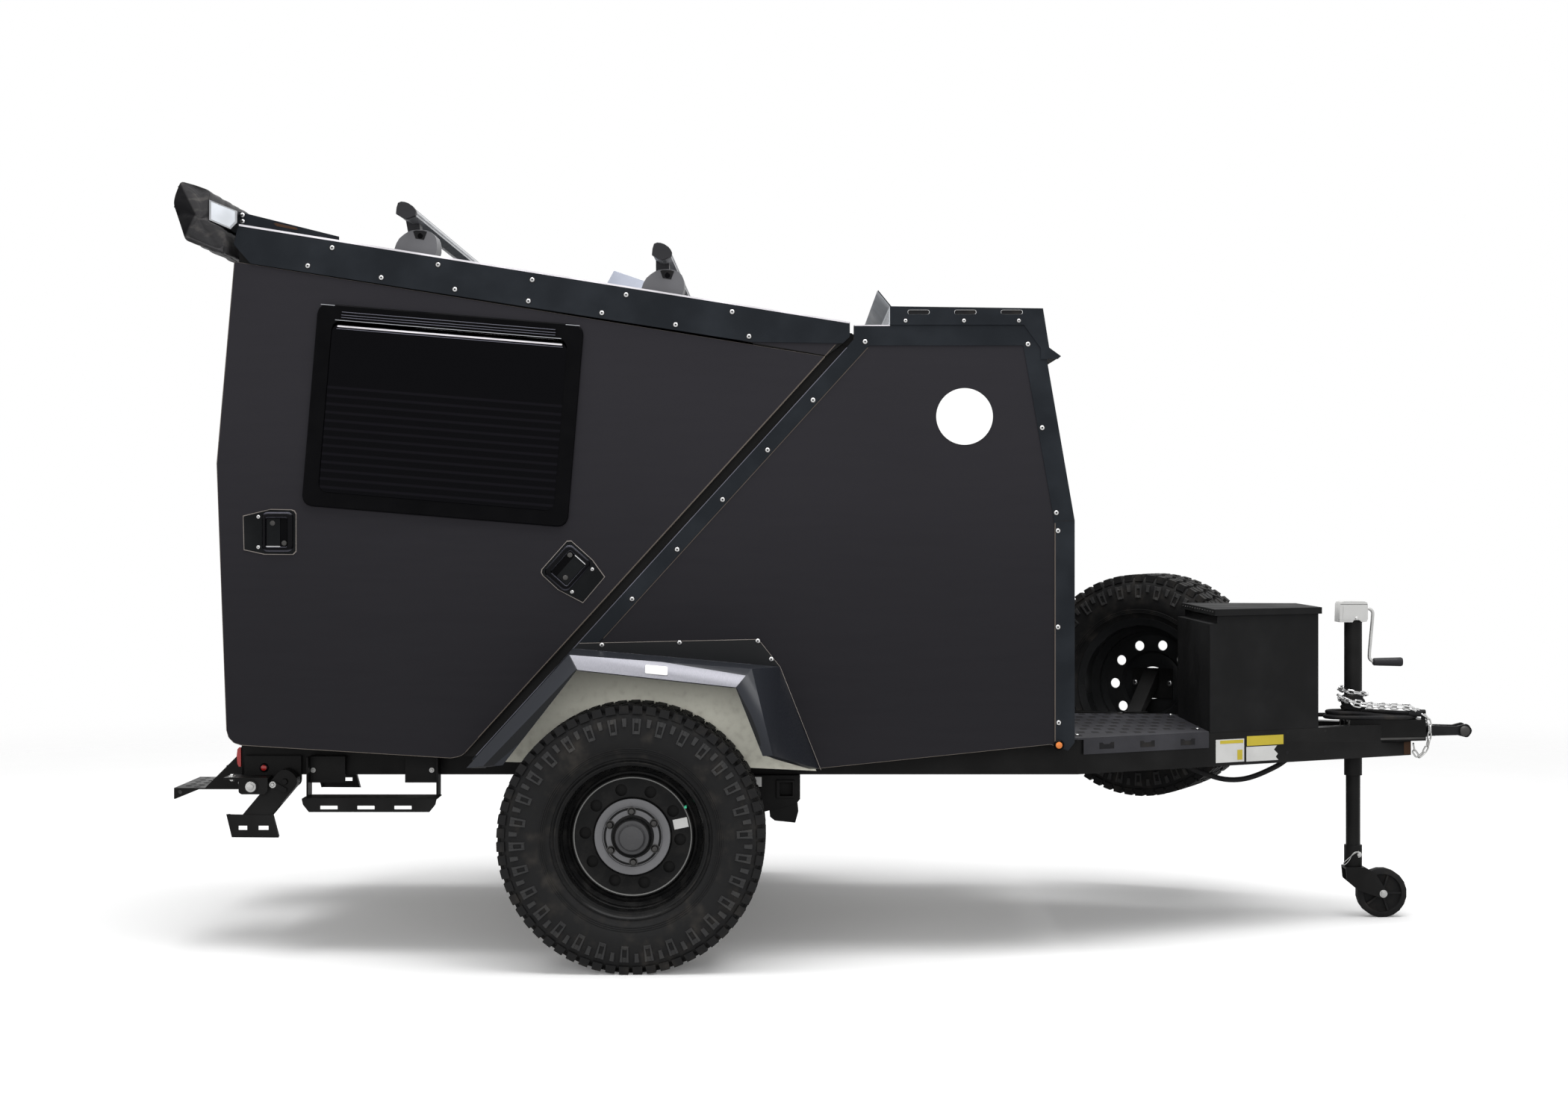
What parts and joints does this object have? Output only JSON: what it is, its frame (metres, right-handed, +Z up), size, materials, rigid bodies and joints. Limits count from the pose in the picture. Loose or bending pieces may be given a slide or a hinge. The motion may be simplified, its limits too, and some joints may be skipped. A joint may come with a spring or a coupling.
{
  "type": "travel trailer",
  "caption": "Small single-axle off-road travel trailer with a wedge-shaped cabin, lift-up side hatches, boxed fenders, tongue box, spare wheel and wheeled jack.",
  "frame": {"origin": "middle of the overall footprint, on the ground", "axes": "+X forward to the hitch, +Y to the left, +Z up"},
  "size_m": [3.9294, 2, 2.1917],
  "materials": {
    "panel_charcoal": "satin charcoal laminate on sandwich panel",
    "trim_black": "powder-coated black sheet",
    "frame_black": "satin black paint on steel",
    "fender_silver": "bright sheet, dark lower faces",
    "zinc": "dull zinc plate",
    "tyre_rubber": "matt black rubber",
    "gloss_black": "gloss black moulding",
    "matt_black_plastic": "textured black plastic",
    "tinted_pane": "dark tinted acrylic",
    "vinyl_black": "black coated fabric",
    "grey_white": "pale grey plastic",
    "lining_grey": "raw grey board",
    "steel_bare": "dark bare steel"
  },
  "bodies": {
    "trailer": {"frame_rail_left": "frame_black", "frame_rail_right": "frame_black", "crossmember_rear": "frame_black", "crossmember_axle": "frame_black", "crossmember_front": "frame_black", "suspension_left": "frame_black", "suspension_right": "frame_black", "cabin_floor": "lining_grey", "side_wall_left": "panel_charcoal", "side_wall_right": "panel_charcoal", "side_frame_left": "frame_black", "side_frame_right": "frame_black", "front_wall": "panel_charcoal", "roof_front": "trim_black", "roof_rear": "trim_black", "rear_header": "frame_black", "rear_sill": "frame_black", "side_trim_left": "trim_black", "side_trim_right": "trim_black", "fender_left": "fender_silver", "fender_right": "fender_silver", "side_step_left": "frame_black", "side_step_right": "frame_black", "stabiliser_bracket_left": "frame_black", "stabiliser_bracket_right": "frame_black", "rear_step": "frame_black", "roof_bar_rear": "matt_black_plastic", "roof_bar_front": "matt_black_plastic", "roof_vent": "grey_white", "roof_tray": "trim_black", "awning_bag": "vinyl_black", "awning_mount": "frame_black", "jack_body": "zinc", "gas_hose": "tyre_rubber", "tongue_deck": "frame_black", "tongue_box": "trim_black", "cable_coil": "tyre_rubber", "coupler": "frame_black", "spare_rim": "frame_black", "spare_tyre": "tyre_rubber", "spare_post": "frame_black"},
    "wheel_left": {"wheel_rim_left": "frame_black", "wheel_tyre_left": "tyre_rubber"},
    "wheel_right": {"wheel_rim_right": "frame_black", "wheel_tyre_right": "tyre_rubber"},
    "side_hatch_left": {"side_hatch_left": "panel_charcoal", "window_frame_left": "gloss_black", "window_pane_left": "tinted_pane"},
    "side_hatch_right": {"side_hatch_right": "panel_charcoal", "window_frame_right": "gloss_black", "window_pane_right": "tinted_pane"},
    "rear_hatch": {"rear_hatch": "panel_charcoal"},
    "tongue_box_lid": {"tongue_box_lid": "trim_black"},
    "jack_leg": {"jack_leg": "frame_black"},
    "caster_fork": {"caster_fork": "frame_black"},
    "caster_wheel": {"caster_wheel": "tyre_rubber"},
    "stabiliser_left": {"stabiliser_leg_left": "frame_black"},
    "stabiliser_right": {"stabiliser_leg_right": "frame_black"},
    "hitch_yoke": {"hitch_yoke": "steel_bare"}
  },
  "joints": [
    {"name": "wheel_left_spin", "type": "hinge", "parent": "trailer", "child": "wheel_left", "pos_m": [-0.59369, 0.86, 0.367], "axis": [0, 1, 0], "continuous": true},
    {"name": "wheel_right_spin", "type": "hinge", "parent": "trailer", "child": "wheel_right", "pos_m": [-0.59369, -0.86, 0.367], "axis": [0, 1, 0], "continuous": true},
    {"name": "side_hatch_left_hinge", "type": "hinge", "parent": "trailer", "child": "side_hatch_left", "pos_m": [-0.89369, 0.73, 1.83616], "axis": [0.9874, 0, -0.158], "range_deg": [0, 88]},
    {"name": "side_hatch_right_hinge", "type": "hinge", "parent": "trailer", "child": "side_hatch_right", "pos_m": [-0.89369, -0.73, 1.83616], "axis": [-0.9874, 0, 0.158], "range_deg": [0, 88]},
    {"name": "rear_hatch_hinge", "type": "hinge", "parent": "trailer", "child": "rear_hatch", "pos_m": [-1.72936, 0, 1.962], "axis": [0, 1, 0], "range_deg": [0, 85]},
    {"name": "tongue_box_lid_hinge", "type": "hinge", "parent": "trailer", "child": "tongue_box_lid", "pos_m": [1.10531, 0, 0.954], "axis": [0, -1, 0], "range_deg": [0, 100]},
    {"name": "jack_leg_slide", "type": "slide", "parent": "trailer", "child": "jack_leg", "axis": [0, 0, 1], "range_m": [-0.06, 0.2]},
    {"name": "caster_swivel", "type": "hinge", "parent": "jack_leg", "child": "caster_fork", "pos_m": [1.60231, 0, 0.158], "axis": [0, 0, 1], "continuous": true},
    {"name": "caster_wheel_spin", "type": "hinge", "parent": "caster_fork", "child": "caster_wheel", "pos_m": [1.68931, 0, 0.076], "axis": [0, 1, 0], "continuous": true},
    {"name": "stabiliser_left_swing", "type": "hinge", "parent": "trailer", "child": "stabiliser_left", "pos_m": [-1.60369, 0.625, 0.492], "axis": [0, -1, 0], "range_deg": [0, 40]},
    {"name": "stabiliser_right_swing", "type": "hinge", "parent": "trailer", "child": "stabiliser_right", "pos_m": [-1.60369, -0.625, 0.492], "axis": [0, -1, 0], "range_deg": [0, 40]},
    {"name": "hitch_yoke_roll", "type": "hinge", "parent": "trailer", "child": "hitch_yoke", "pos_m": [1.85631, 0, 0.584], "axis": [1, 0, 0], "continuous": true}
  ]
}
